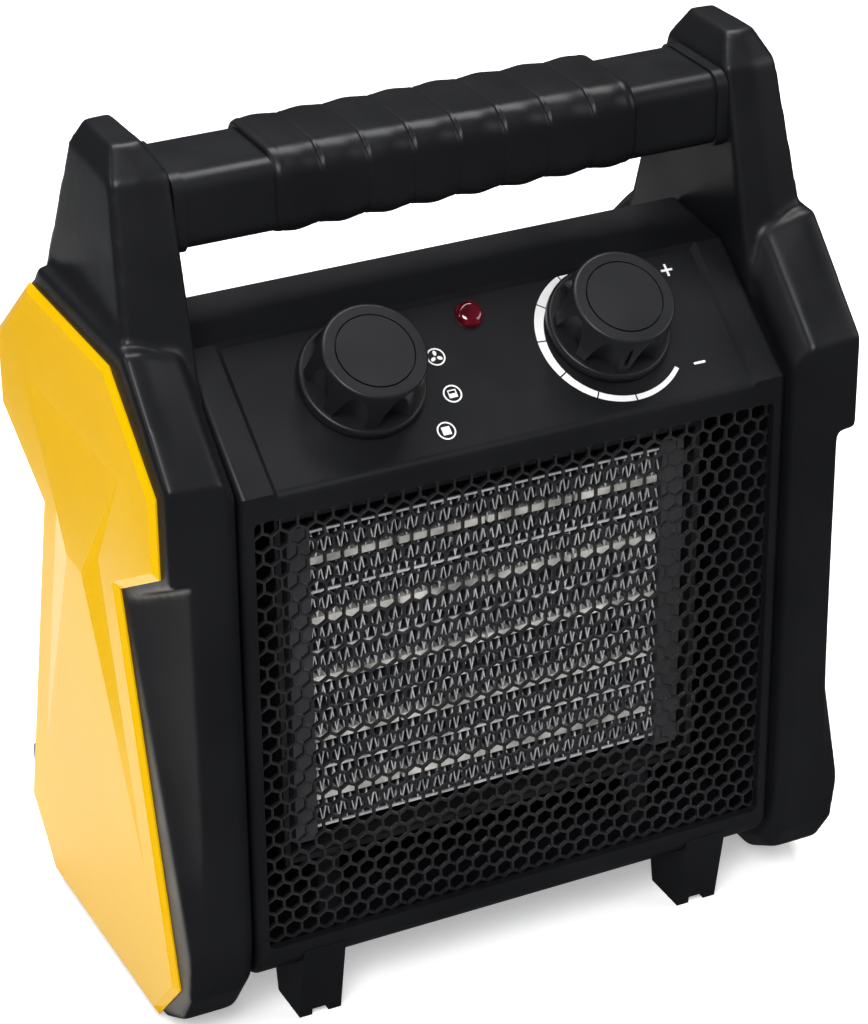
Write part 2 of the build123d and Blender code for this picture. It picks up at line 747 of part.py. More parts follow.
with BuildPart() as heater_duct:
    duct_height = 2 * DUCT_HALF_HEIGHT
    with BuildSketch(back_plane(DUCT_FRONT)):
        with Locations((0, FAN_Z)):
            Rectangle(2 * DUCT_HALF_WIDTH, duct_height)
            Rectangle(2 * DUCT_HALF_WIDTH - 4, duct_height - 4, mode=Mode.SUBTRACT)
    extrude(amount=-(SHROUD_Y - DUCT_FRONT))
    # Webs that fill the space beside the core.
    with BuildSketch(back_plane(CORE_BACK)):
        with Locations((0, FAN_Z)):
            Rectangle(2 * DUCT_HALF_WIDTH - 2, duct_height - 2)
        with Locations((0, (CORE_LOW + CORE_HIGH) / 2)):
            Rectangle(2 * CORE_HALF_WIDTH + 16, CORE_HIGH - CORE_LOW + 6, mode=Mode.SUBTRACT)
    extrude(amount=-2)
    # Legs on the floor of the housing.
    with BuildSketch(Plane.XY.offset(HOUSING_BOTTOM + WALL)):
        with Locations((0, -20)):
            with GridLocations(120, 50, 2, 2):
                Rectangle(8, 6)
    extrude(amount=FAN_Z - DUCT_HALF_HEIGHT - HOUSING_BOTTOM - WALL + 1)
save(heater_duct, "heater_duct")

with BuildPart() as heater_terminals:
    with BuildSketch(side_plane(CORE_HALF_WIDTH + 8)):
        for unit in range(UNITS):
            with Locations((CORE_BACK - 6, first + unit * unit_height)):
                Rectangle(6.3, 0.8)
    extrude(amount=2.6)
save(heater_terminals, "heater_terminals")

with BuildPart() as thermal_cutout:
    with BuildSketch(Plane.XY.offset(FAN_Z + DUCT_HALF_HEIGHT)):
        with Locations((0, -20)):
            Circle(8)
    extrude(amount=7)
    with BuildSketch(Plane.XY.offset(FAN_Z + DUCT_HALF_HEIGHT)):
        with Locations((0, -20)):
            SlotOverall(32, 8)
    extrude(amount=1)
    with BuildSketch(Plane.XY.offset(FAN_Z + DUCT_HALF_HEIGHT + 7)):
        with Locations((-5, -20), (5, -20)):
            Rectangle(0.8, 5)
    extrude(amount=7)
save(thermal_cutout, "thermal_cutout")

# ---------------------------------------------------------------- fan

fan_plane = Plane(origin=(0, SHROUD_Y, FAN_Z), x_dir=(1, 0, 0), z_dir=(0, 1, 0))

with BuildPart() as fan_shroud:
    with BuildSketch(fan_plane):
        Rectangle(2 * DUCT_HALF_WIDTH, 2 * DUCT_HALF_HEIGHT)
        Circle(FAN_RADIUS + 2, mode=Mode.SUBTRACT)
    extrude(amount=2)
    with BuildSketch(fan_plane.offset(2)):
        Circle(FAN_RADIUS + 5)
        Circle(FAN_RADIUS + 2, mode=Mode.SUBTRACT)
    extrude(amount=22)
save(fan_shroud, "fan_shroud")

with BuildPart() as fan_impeller:
    with BuildSketch(fan_plane.offset(3)):
        Circle(HUB_RADIUS)
    extrude(amount=18)
    hub_edge = fan_impeller.faces().sort_by(Axis.Y)[0].edges()
    fillet(hub_edge, 3)
    for blade in range(BLADES):
        turn = Rotation(0, 0, 360 / BLADES * blade)
        pitched = Pos((HUB_RADIUS + FAN_RADIUS) / 2 - 2, 0, 12) * Rotation(BLADE_PITCH, 0, 0)
        size = (FAN_RADIUS - HUB_RADIUS + 4, 30, 1.8)
        blade_solid = fan_plane.location * turn * pitched * Box(*size, mode=Mode.PRIVATE)
        add(blade_solid)
    with BuildSketch(fan_plane.offset(1)):
        Circle(FAN_RADIUS)
    extrude(amount=22, mode=Mode.INTERSECT)
    with BuildSketch(fan_plane):
        Circle(SHAFT_RADIUS)
    extrude(amount=30, mode=Mode.SUBTRACT)
save(fan_impeller, "fan_impeller")

with BuildPart() as motor_shaft:
    with BuildSketch(fan_plane.offset(1)):
        Circle(SHAFT_RADIUS)
    extrude(amount=42)
save(motor_shaft, "motor_shaft")

with BuildPart() as motor_bracket:
    with BuildSketch(fan_plane.offset(24)):
        Circle(16)
        with PolarLocations(0, 3, start_angle=90):
            with Locations((FAN_RADIUS / 2 + 2.5, 0)):
                Rectangle(FAN_RADIUS + 5, 11)
        Circle(9, mode=Mode.SUBTRACT)
        with PolarLocations(12.5, 3, start_angle=30):
            Circle(SCREW_RADIUS, mode=Mode.SUBTRACT)
    extrude(amount=2.5)
save(motor_bracket, "motor_bracket")

with BuildPart() as fan_motor:
    with BuildSketch(fan_plane.offset(26.5)):
        Circle(MOTOR_RADIUS)
    extrude(amount=24)
    motor_edges = fan_motor.faces().sort_by(Axis.Y)[-1].edges()
    fillet(motor_edges, 3)
    with BuildSketch(fan_plane.offset(26.5)):
        Circle(8.8)
    extrude(amount=-3)
    with BuildSketch(fan_plane.offset(23)):
        Circle(SHAFT_RADIUS + RUNNING_GAP)
    extrude(amount=20.5, mode=Mode.SUBTRACT)
    with BuildSketch(fan_plane.offset(26.5)):
        with PolarLocations(12.5, 3, start_angle=30):
            Circle(SCREW_RADIUS)
    extrude(amount=6, mode=Mode.SUBTRACT)
save(fan_motor, "fan_motor")

# ---------------------------------------------------------------- electrics and screws

with BuildPart() as terminal_block:
    with BuildSketch(Plane.XY.offset(HOUSING_BOTTOM + WALL)):
        with Locations((-52, 55)):
            RectangleRounded(30, 14, 1.5)
    extrude(amount=13)
    with BuildSketch(Plane.XY.offset(HOUSING_BOTTOM + WALL + 13)):
        with Locations((-52, 55)):
            with GridLocations(9, 1, 3, 1):
                Circle(2.6)
    extrude(amount=-5, mode=Mode.SUBTRACT)
save(terminal_block, "terminal_block")

# Insulated leads, each a run of points with a bend radius.
LEADS = (
    ([(-61, 55, 34), (-61, 55, 50), (-87, 48, 70), (-87, 30, 184), (-56, -6, 190),
      (-52.4, -19.3, 192.7), (-52.4, -26, 201.6)], 3),
    ([(-36.4, -26, 201.6), (-36.4, -19.3, 192.7), (-24, -30, 203), (5, -36.1, 207.6),
      (16.7, -36.1, 207.6)], 3),
    ([(72.1, -36.1, 207.6), (86, -36.1, 207.6), (86, -36.1, 82), (78.1, -36.1, 82)], 6),
    ([(-52, 55, 34), (-52, 55, 56), (-45, 50, 73), (-17.4, 50, 100.6)], 6),
)

with BuildPart() as wiring:
    for points, bend in LEADS:
        with BuildLine() as route:
            FilletPolyline(*points, radius=bend)
        with BuildSketch(Plane(origin=route.line @ 0, z_dir=route.line % 0)):
            Circle(LEAD_RADIUS)
        sweep(path=route.line)
save(wiring, "wiring")

with BuildPart() as cable_gland:
    with BuildSketch(back_plane(HALF_DEPTH + GLAND_FLANGE)):
        with Locations(INLET):
            Circle(GLAND_RADIUS + 3)
    extrude(amount=GLAND_FLANGE)
    with BuildSketch(back_plane(HALF_DEPTH)):
        with Locations(INLET):
            Circle(GLAND_RADIUS)
    extrude(amount=12)
    with BuildSketch(back_plane(HALF_DEPTH + GLAND_FLANGE)):
        with Locations(INLET):
            Circle(GLAND_BORE)
    extrude(amount=GLAND_FLANGE + 12, mode=Mode.SUBTRACT)
save(cable_gland, "cable_gland")

with BuildPart() as rear_screws:
    with BuildSketch(back_plane(SCREW_SEAT)):
        with Locations(*PILLARS):
            Circle(SCREW_HEAD_RADIUS)
    extrude(amount=-2.2)
    with BuildSketch(back_plane(SCREW_SEAT)):
        with Locations(*PILLARS):
            Circle(SCREW_RADIUS)
    extrude(amount=18)
save(rear_screws, "rear_screws")

with BuildPart() as motor_screws:
    with BuildSketch(fan_plane.offset(24)):
        with PolarLocations(12.5, 3, start_angle=30):
            Circle(2.6)
    extrude(amount=-1.6)
    with BuildSketch(fan_plane.offset(24)):
        with PolarLocations(12.5, 3, start_angle=30):
            Circle(SCREW_RADIUS)
    extrude(amount=8)
save(motor_screws, "motor_screws")

with BuildPart() as grille_screws:
    with BuildSketch(back_plane(HALF_DEPTH - WALL - 2)):
        with Locations(*GRILLE_SPOTS):
            Circle(2.6)
    extrude(amount=1.6)
    with BuildSketch(back_plane(HALF_DEPTH - WALL - 2)):
        with Locations(*GRILLE_SPOTS):
            Circle(SCREW_RADIUS)
    extrude(amount=-2)
save(grille_screws, "grille_screws")
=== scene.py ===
import json
import math

import bmesh
import bpy
from mathutils import Matrix, Vector


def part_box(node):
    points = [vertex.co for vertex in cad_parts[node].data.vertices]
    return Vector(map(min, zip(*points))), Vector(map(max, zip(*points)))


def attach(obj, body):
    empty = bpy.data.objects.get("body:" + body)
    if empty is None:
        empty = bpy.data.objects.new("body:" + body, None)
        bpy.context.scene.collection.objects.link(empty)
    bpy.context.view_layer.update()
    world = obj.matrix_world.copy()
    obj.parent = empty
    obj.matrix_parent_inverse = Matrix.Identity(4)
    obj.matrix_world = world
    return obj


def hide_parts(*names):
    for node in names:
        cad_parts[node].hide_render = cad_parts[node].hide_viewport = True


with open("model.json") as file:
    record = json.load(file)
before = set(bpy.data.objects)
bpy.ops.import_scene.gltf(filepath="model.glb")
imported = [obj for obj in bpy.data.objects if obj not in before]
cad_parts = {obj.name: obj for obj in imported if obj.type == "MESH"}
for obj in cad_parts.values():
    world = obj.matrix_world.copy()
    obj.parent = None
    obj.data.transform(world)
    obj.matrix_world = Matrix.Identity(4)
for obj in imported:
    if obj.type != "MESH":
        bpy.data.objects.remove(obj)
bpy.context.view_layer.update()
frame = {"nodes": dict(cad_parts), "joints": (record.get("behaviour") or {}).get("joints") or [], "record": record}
nodes = frame["nodes"]
MM = 0.001

# ---------------------------------------------------------------- places read from the frame

joints = {joint["name"]: joint for joint in frame["joints"]}
panel_normal = Vector(joints["thermostat_turn"]["axis"]).normalized()
panel_right = Vector((1, 0, 0))
panel_up = panel_normal.cross(panel_right)
switch_axis = Vector(joints["switch_turn"]["pos_m"])
thermostat_axis = Vector(joints["thermostat_turn"]["pos_m"])
KNOB_UP_SLOPE = 32.8
panel_foot = (switch_axis + thermostat_axis) / 2 - panel_up * KNOB_UP_SLOPE * MM


def on_panel(across, up, lift):
    """Point in mm across and up the slope from the middle of the panel's lower edge, and lifted off it."""
    return panel_foot + (panel_right * across + panel_up * up + panel_normal * lift) * MM


# ---------------------------------------------------------------- materials

NOISE_LOW = 0.3
NOISE_HIGH = 0.7
SMUDGE_SCALE = 2.7
GRAIN_DEPTH = 0.00006
# Colour sockets of a mix node, which has number and vector sockets of the same names.
MIX_FIRST = 6
MIX_SECOND = 7
MIX_RESULT = 2


def new_material(name):
    material = bpy.data.materials.new(name)
    material.use_nodes = True
    tree = material.node_tree
    shader = tree.nodes["Principled BSDF"]
    coordinates = tree.nodes.new("ShaderNodeTexCoord")
    return material, tree, shader, coordinates.outputs["Object"]


def noise(tree, vector, scale, detail=3.0, roughness=0.55):
    texture = tree.nodes.new("ShaderNodeTexNoise")
    texture.inputs["Scale"].default_value = scale
    texture.inputs["Detail"].default_value = detail
    texture.inputs["Roughness"].default_value = roughness
    tree.links.new(vector, texture.inputs["Vector"])
    return texture.outputs["Fac"]


def ramp(tree, factor, low, high, start=NOISE_LOW, end=NOISE_HIGH):
    """Colour that goes from low to high as factor goes from start to end."""
    stops = tree.nodes.new("ShaderNodeValToRGB")
    stops.color_ramp.elements[0].position = start
    stops.color_ramp.elements[0].color = (*low, 1)
    stops.color_ramp.elements[1].position = end
    stops.color_ramp.elements[1].color = (*high, 1)
    tree.links.new(factor, stops.inputs["Fac"])
    return stops.outputs["Color"]


def spread(tree, factor, low, high):
    """Number that goes from low to high over the usual range of a noise."""
    scaled = tree.nodes.new("ShaderNodeMapRange")
    scaled.inputs["From Min"].default_value = NOISE_LOW
    scaled.inputs["From Max"].default_value = NOISE_HIGH
    scaled.inputs["To Min"].default_value = low
    scaled.inputs["To Max"].default_value = high
    tree.links.new(factor, scaled.inputs["Value"])
    return scaled.outputs["Result"]


def bump(tree, shader, height, strength, distance):
    node = tree.nodes.new("ShaderNodeBump")
    node.inputs["Strength"].default_value = strength
    node.inputs["Distance"].default_value = distance
    tree.links.new(height, node.inputs["Height"])
    tree.links.new(node.outputs["Normal"], shader.inputs["Normal"])


def grained(
    name, low, high, rough, patch=14.0, grain=1400.0, grain_strength=0.25, metallic=0.0, specular=0.5
):
    """Moulded or metal surface: slow colour patches, uneven gloss and a fine grain."""
    material, tree, shader, vector = new_material(name)
    patches = noise(tree, vector, patch, 4.0)
    tree.links.new(ramp(tree, patches, low, high), shader.inputs["Base Color"])
    smudges = noise(tree, vector, patch * SMUDGE_SCALE, 5.0, 0.6)
    tree.links.new(spread(tree, smudges, *rough), shader.inputs["Roughness"])
    fine = noise(tree, vector, grain, 2.0, 0.5)
    bump(tree, shader, fine, grain_strength, GRAIN_DEPTH)
    shader.inputs["Metallic"].default_value = metallic
    shader.inputs["Specular IOR Level"].default_value = specular
    return material


# Each surface: material name, darkest and lightest colour, range of roughness, and what else it has.
SURFACES = {
    "black_plastic": (
        "charcoal_plastic", (0.0045, 0.0047, 0.0056), (0.0078, 0.0081, 0.0097), (0.3, 0.42),
        {"specular": 0.2},
    ),
    "knob_plastic": (
        "knob_plastic", (0.006, 0.006, 0.007), (0.0095, 0.0098, 0.0115), (0.3, 0.4),
        {"grain": 1900.0, "specular": 0.25},
    ),
    "grip_rubber": (
        "grip_rubber", (0.0045, 0.0045, 0.0055), (0.0075, 0.0078, 0.0092), (0.3, 0.4),
        {"grain": 1100.0, "specular": 0.2},
    ),
    "yellow_plastic": (
        "yellow_gloss", (0.60, 0.34, 0.0), (0.65, 0.375, 0.0), (0.13, 0.2),
        {"patch": 6.0, "grain": 260.0, "grain_strength": 0.05, "specular": 0.07},
    ),
    "black_mesh": (
        "mesh_coating", (0.008, 0.008, 0.009), (0.016, 0.016, 0.018), (0.2, 0.34),
        {"specular": 1.0},
    ),
    "steel": (
        "plated_steel", (0.42, 0.42, 0.43), (0.58, 0.58, 0.59), (0.25, 0.4),
        {"metallic": 1.0, "patch": 90.0},
    ),
    "zinc_steel": (
        "zinc_sheet", (0.16, 0.165, 0.17), (0.3, 0.305, 0.31), (0.35, 0.55),
        {"metallic": 1.0, "patch": 60.0},
    ),
    # Painted shade: zinc sheet darkened for the duct deep inside the housing.
    "shade_darkened_sheet": (
        "shade_darkened_sheet", (0.022, 0.022, 0.024), (0.05, 0.05, 0.054), (0.35, 0.55),
        {"metallic": 0.6, "patch": 60.0},
    ),
    "ptc_stone": (
        "ptc_stone", (0.2, 0.195, 0.18), (0.95, 0.92, 0.86), (0.35, 0.55),
        {"metallic": 0.1, "patch": 75.0},
    ),
    "ceramic_white": ("control_ceramic", (0.6, 0.57, 0.52), (0.72, 0.7, 0.66), (0.5, 0.7), {}),
    "grey_plastic": ("heatproof_grey", (0.03, 0.03, 0.033), (0.06, 0.06, 0.065), (0.45, 0.6), {}),
    "brass": (
        "brass_tab", (0.6, 0.42, 0.16), (0.75, 0.56, 0.25), (0.25, 0.4),
        {"metallic": 1.0, "patch": 80.0},
    ),
    "lead_insulation": ("lead_insulation", (0.3, 0.3, 0.31), (0.42, 0.42, 0.43), (0.4, 0.55), {}),
    "fan_plastic": ("fan_plastic", (0.02, 0.02, 0.022), (0.035, 0.035, 0.038), (0.35, 0.5), {}),
    "print": ("white_print", (0.72, 0.72, 0.72), (0.85, 0.85, 0.85), (0.45, 0.6), {"patch": 120.0}),
}
MATERIALS = {}
for surface, (name, low, high, rough, extra) in SURFACES.items():
    MATERIALS[surface] = grained(name, low, high, rough, **extra)


def lens_material():
    """Clear red plastic with a wet gloss."""
    material, tree, shader, vector = new_material("red_lens")
    patches = noise(tree, vector, 300.0, 2.0)
    reds = ramp(tree, patches, (0.045, 0.0, 0.003), (0.1, 0.001, 0.008))
    tree.links.new(reds, shader.inputs["Base Color"])
    tree.links.new(spread(tree, patches, 0.06, 0.12), shader.inputs["Roughness"])
    rings = noise(tree, vector, 900.0, 1.0)
    bump(tree, shader, rings, 0.1, 0.0001)
    shader.inputs["Coat Weight"].default_value = 1.0
    shader.inputs["Coat Roughness"].default_value = 0.03
    return material


MATERIALS["red_lens"] = lens_material()

# Depths in mm behind the fins' front where the painted highlight ends and where the painted shade is full.
FIN_PAINTED_HIGHLIGHT_DEPTH = 0.2
FIN_PAINTED_SHADE_DEPTH = 1.0


def fin_material():
    """Thin aluminium: the cut front edges get a painted highlight and the walls behind them painted shade, both in
    the base colour.
    """
    material, tree, shader, vector = new_material("fin_aluminium")
    split = tree.nodes.new("ShaderNodeSeparateXYZ")
    tree.links.new(vector, split.inputs["Vector"])
    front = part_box("fin_strips")[0][1]
    depth = tree.nodes.new("ShaderNodeMapRange")
    depth.inputs["From Min"].default_value = front + FIN_PAINTED_HIGHLIGHT_DEPTH * MM
    depth.inputs["From Max"].default_value = front + FIN_PAINTED_SHADE_DEPTH * MM
    tree.links.new(split.outputs["Y"], depth.inputs["Value"])
    # Painted highlight and painted shade: base colour white at the fins' front edges, going dark a millimetre
    # deeper in.
    shade = ramp(tree, depth.outputs["Result"], (1.0, 1.0, 1.0), (0.07, 0.07, 0.08), 0.0, 1.0)
    patches = ramp(tree, noise(tree, vector, 130.0, 3.0), (0.5, 0.51, 0.54), (1.0, 1.0, 1.0))
    blend = tree.nodes.new("ShaderNodeMix")
    blend.data_type = "RGBA"
    blend.blend_type = "MULTIPLY"
    blend.inputs["Factor"].default_value = 1.0
    tree.links.new(shade, blend.inputs[MIX_FIRST])
    tree.links.new(patches, blend.inputs[MIX_SECOND])
    tree.links.new(blend.outputs[MIX_RESULT], shader.inputs["Base Color"])
    tree.links.new(spread(tree, noise(tree, vector, 200.0), 0.25, 0.4), shader.inputs["Roughness"])
    bump(tree, shader, noise(tree, vector, 900.0, 2.0), 0.15, 0.00005)
    shader.inputs["Metallic"].default_value = 0.25
    return material


MATERIALS["fin_aluminium"] = fin_material()

for part in frame["record"]["subparts"]:
    mesh = nodes[part["node"]].data
    mesh.materials.clear()
    mesh.materials.append(MATERIALS[part["material_slot"]])

# The duct round the heating element is shown darker than plain zinc sheet: painted shade for its place deep behind
# the grille.
nodes["heater_duct"].data.materials[0] = MATERIALS["shade_darkened_sheet"]

# ---------------------------------------------------------------- softened edges of the CAD nodes

BEVEL_SEGMENTS = 3
SHARP_ANGLE = 28.0
WELD_DISTANCE = 0.00001


def soften(name, width):
    """Rounds the sharp edges of a moulded piece by width, in mm."""
    piece = nodes[name]
    weld = piece.modifiers.new("weld", "WELD")
    weld.merge_threshold = WELD_DISTANCE
    bevel = piece.modifiers.new("bevel", "BEVEL")
    bevel.width = width * MM
    bevel.segments = BEVEL_SEGMENTS
    bevel.limit_method = "ANGLE"
    bevel.angle_limit = math.radians(SHARP_ANGLE)
    bevel.harden_normals = True
    bevel.miter_outer = "MITER_ARC"


SOFT_EDGES = {
    "left_side_panel": 0.5,
    "right_side_panel": 0.5,
    "front_housing": 0.8,
    "front_feet": 0.8,
    "rear_feet": 0.8,
}
for name, width in SOFT_EDGES.items():
    soften(name, width)


FRAME_CELL = 0.9
SMOOTH_FACTOR = 0.5
SMOOTH_PASSES = 26
KEPT_FACES = 0.3


def round_over(name):
    """Rounds every edge and inner corner of a moulded piece, by smoothing an even mesh of it."""
    piece = nodes[name]
    even = piece.modifiers.new("even", "REMESH")
    even.mode = "VOXEL"
    even.voxel_size = FRAME_CELL * MM
    even.use_smooth_shade = True
    rounded = piece.modifiers.new("rounded", "SMOOTH")
    rounded.factor = SMOOTH_FACTOR
    rounded.iterations = SMOOTH_PASSES
    thin = piece.modifiers.new("thin", "DECIMATE")
    thin.ratio = KEPT_FACES


for name in ("left_side_frame", "right_side_frame"):
    round_over(name)

# ---------------------------------------------------------------- handle grip

grip_low, grip_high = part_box("handle_grip")
grip_centre = Vector([(low + high) / 2 for low, high in zip(grip_low, grip_high)])
GRIP_LENGTH = (grip_high[0] - grip_low[0]) / MM
GRIP_DEPTH = (grip_high[1] - grip_low[1]) / MM
GRIP_HEIGHT = (grip_high[2] - grip_low[2]) / MM
GRIP_RING_SPACING = 0.5
CORNER_STEPS = 26
FRONT_TOP_RADIUS = 9.0
REAR_TOP_RADIUS = 5.0
REAR_LOW_RADIUS = 7.0
FRONT_LOW_RADIUS = 8.0

BULGES = 8
BULGE_PITCH = GRIP_LENGTH / BULGES
GROOVE_REACH = 0.7
PLAIN_END = 3
END_REACH = 1.4
END_DROP = 1.0
LIP_PLACE = 2.4
LIP_REACH = 1.2
LIP_HEIGHT = 0.25
CORNER_SHARPNESS = 1.6
# Depth in mm of the waist between two bulges and of the groove in it, on each side of the grip.
WAIST_FRONT = 0.25
WAIST_BELOW = 0.9
WAIST_CORNER = 0.55
WAIST_REAR = 0.9
GROOVE_ALL_ROUND = 0.1
GROOVE_FRONT = 0.15
GROOVE_CORNER = 0.8
GROOVE_BELOW = 0.3
GROOVE_REAR = 0.3


def grip_outline():
    """Closed cross-section of the grip as (y, z) in mm from its centre, front-top corner first."""
    half_y = GRIP_DEPTH / 2
    half_z = GRIP_HEIGHT / 2
    corners = (
        (-half_y, half_z, FRONT_TOP_RADIUS, 180),
        (half_y, half_z, REAR_TOP_RADIUS, 90),
        (half_y, -half_z, REAR_LOW_RADIUS, 0),
        (-half_y, -half_z, FRONT_LOW_RADIUS, -90),
    )
    ring = []
    for y, z, radius, first in corners:
        centre_y = y + math.copysign(radius, -y)
        centre_z = z + math.copysign(radius, -z)
        for step in range(CORNER_STEPS + 1):
            angle = math.radians(first - 90 * step / CORNER_STEPS)
            ring.append((centre_y + radius * math.cos(angle), centre_z + radius * math.sin(angle)))
    return ring


def sink(along, depth, height):
    """How far the surface is sunk at a point along the grip: soft waists, sharp grooves and end lips."""
    phase = (along / BULGE_PITCH) % 1.0
    bulge = 0.5 - 0.5 * math.cos(2 * math.pi * phase)
    from_groove = min(phase, 1 - phase) * BULGE_PITCH
    groove = max(0.0, 1 - from_groove / GROOVE_REACH)
    to_end = min(along, GRIP_LENGTH - along)
    end = max(0.0, 1 - to_end / END_REACH)
    lip = max(0.0, 1 - abs(to_end - LIP_PLACE) / LIP_REACH)
    if to_end < PLAIN_END:
        groove = 0.0
    # The top face stays nearly flat: the waists show on its two long edges, on the front and underneath.
    front = max(0.0, -depth)
    below = max(0.0, -height)
    corner = max(0.0, 1 - abs(-depth - height) * CORNER_SHARPNESS) if depth < 0 < height else 0.0
    rear_top = max(0.0, depth) * max(0.0, height)
    sunk = (1 - bulge) * (WAIST_FRONT * front + WAIST_BELOW * below + WAIST_CORNER * corner)
    sunk += (1 - bulge) * WAIST_REAR * rear_top
    cut = GROOVE_ALL_ROUND + GROOVE_FRONT * front + GROOVE_CORNER * corner
    sunk += groove * (cut + GROOVE_BELOW * below + GROOVE_REAR * rear_top)
    sunk += END_DROP * end ** 2
    return sunk - LIP_HEIGHT * lip + LIP_HEIGHT


def grip_mesh():
    """The ribbed sleeve round the handle bar, as rings of the outline with its ends closed."""
    rings = int(GRIP_LENGTH / GRIP_RING_SPACING)
    shape = bmesh.new()
    outline = grip_outline()
    rows = []
    for index in range(rings + 1):
        along = GRIP_LENGTH * index / rings
        row = []
        for y, z in outline:
            reach = math.hypot(y, z)
            depth = y / (GRIP_DEPTH / 2)
            height = z / (GRIP_HEIGHT / 2)
            keep = 1 - sink(along, depth, height) / reach
            place = Vector((along - GRIP_LENGTH / 2, y * keep, z * keep)) * MM
            row.append(shape.verts.new(grip_centre + place))
        rows.append(row)
    for row, following in zip(rows, rows[1:]):
        for point in range(len(row)):
            shape.faces.new((row[point], row[point - 1], following[point - 1], following[point]))
    shape.faces.new(rows[0])
    shape.faces.new(list(reversed(rows[-1])))
    bmesh.ops.recalc_face_normals(shape, faces=shape.faces)
    for face in shape.faces:
        face.smooth = len(face.verts) == 4
    mesh = bpy.data.meshes.new("grip_sleeve")
    shape.to_mesh(mesh)
    shape.free()
    mesh.materials.append(MATERIALS["grip_rubber"])
    sleeve = bpy.data.objects.new("grip_sleeve", mesh)
    bpy.context.scene.collection.objects.link(sleeve)
    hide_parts("handle_grip")
    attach(sleeve, "housing")


grip_mesh()

# ---------------------------------------------------------------- white marks printed on the control panel

PRINT_LIFT = 0.02
PRINT_THICKNESS = 0.12
RING_STEPS = 18


def printed(name, outlines):
    """Thin printed marks. Every outline is a list of (across, up) in mm from the panel's lower edge."""
    shape = bmesh.new()
    for outline in outlines:
        ring = [shape.verts.new(on_panel(x, y, PRINT_LIFT)) for x, y in outline]
        face = shape.faces.new(ring)
        face.normal_update()
        if face.normal.dot(panel_normal) < 0:
            face.normal_flip()
        raised = bmesh.ops.extrude_face_region(shape, geom=[face])["geom"]
        corners = [item for item in raised if isinstance(item, bmesh.types.BMVert)]
        bmesh.ops.translate(shape, vec=panel_normal * PRINT_THICKNESS * MM, verts=corners)
    bmesh.ops.recalc_face_normals(shape, faces=shape.faces)
    mesh = bpy.data.meshes.new(name)
    shape.to_mesh(mesh)
    shape.free()
    mesh.materials.append(MATERIALS["print"])
    marks = bpy.data.objects.new(name, mesh)
    bpy.context.scene.collection.objects.link(marks)
    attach(marks, "housing")


def ring_segment(centre, inner, outer, start, end):
    """Part of a ring from start to end degrees; inner and outer are (radius at start, radius at end)."""
    arc = []
    for radii, order in ((outer, range(RING_STEPS + 1)), (inner, range(RING_STEPS, -1, -1))):
        for step in order:
            share = step / RING_STEPS
            angle = math.radians(start + (end - start) * share)
            radius = radii[0] + (radii[1] - radii[0]) * share
            arc.append((centre[0] + radius * math.cos(angle), centre[1] + radius * math.sin(angle)))
    return arc


def thin_ring(centre, radius, line):
    """Whole ring as two halves."""
    halves = []
    for start in (0, 180):
        halves.append(ring_segment(centre, (radius - line,) * 2, (radius,) * 2, start, start + 180))
    return halves


def bar(centre, width, height):
    x, y = centre
    left, right = x - width / 2, x + width / 2
    low, high = y - height / 2, y + height / 2
    return [(left, low), (right, low), (right, high), (left, high)]


def fan_blade(centre, turned):
    """Oval blade that points away from centre at turned degrees."""
    outline = []
    spin = math.radians(turned)
    for step in range(BLADE_POINTS):
        angle = 2 * math.pi * step / BLADE_POINTS
        along = BLADE_CENTRE + BLADE_HALF_LENGTH * math.cos(angle)
        across = BLADE_HALF_WIDTH * math.sin(angle)
        outline.append((
            centre[0] + along * math.cos(spin) - across * math.sin(spin),
            centre[1] + along * math.sin(spin) + across * math.cos(spin),
        ))
    return outline


def half_filled_square(centre):
    """Square outline with its lower half filled, as a lid, the filling and two sides."""
    x, y = centre
    lid = bar((x, y + LID_UP), SQUARE, LID_HEIGHT)
    filling = bar((x, y - FILLING_DOWN), SQUARE, FILLING_HEIGHT)
    left = bar((x - SIDE_OUT, y + SIDE_UP), SIDE_WIDTH, SIDE_HEIGHT)
    right = bar((x + SIDE_OUT, y + SIDE_UP), SIDE_WIDTH, SIDE_HEIGHT)
    return [lid, filling, left, right]


# Fan, half power and full power beside the switch.
FAN_MARK = (-16.8, 35.3)
HALF_MARK = (-16.4, 21.4)
FULL_MARK = (-23.4, 9.3)
ICON_RADIUS = 3.2
ICON_LINE = 0.5
BLADE_ANGLES = (90, 210, 330)
BLADE_POINTS = 12
BLADE_CENTRE = 1.35
BLADE_HALF_LENGTH = 0.95
BLADE_HALF_WIDTH = 0.62
SQUARE = 2.9
LID_UP = 1.25
LID_HEIGHT = 0.35
FILLING_DOWN = 0.65
FILLING_HEIGHT = 1.5
SIDE_OUT = 1.3
SIDE_UP = 0.6
SIDE_WIDTH = 0.3
SIDE_HEIGHT = 1.0
icons = []
for mark in (FAN_MARK, HALF_MARK, FULL_MARK):
    icons += thin_ring(mark, ICON_RADIUS, ICON_LINE)
for turned in BLADE_ANGLES:
    icons.append(fan_blade(FAN_MARK, turned))
icons += half_filled_square(HALF_MARK)
icons.append(bar(FULL_MARK, SQUARE, SQUARE))
printed("switch_marks", icons)

# Arc round the thermostat that grows from low to high heat.
ARC_CENTRE = (44.4, 30.4)
ARC_RADIUS = 25.6
ARC_STOPS = (-44, -91, -122, -153, -185, -217, -249, -282)
ARC_GAP = 0.6
ARC_LOW_WIDTH = 1.5
ARC_GROWTH = 2.5
segments = []
for start, end in zip(ARC_STOPS, ARC_STOPS[1:]):
    ends = (start - ARC_GAP, end + ARC_GAP)
    inner = []
    for angle in ends:
        share = (ARC_STOPS[0] - angle) / (ARC_STOPS[0] - ARC_STOPS[-1])
        inner.append(ARC_RADIUS - (ARC_LOW_WIDTH + ARC_GROWTH * share))
    segments.append(ring_segment(ARC_CENTRE, inner, (ARC_RADIUS, ARC_RADIUS), *ends))
printed("thermostat_arc", segments)

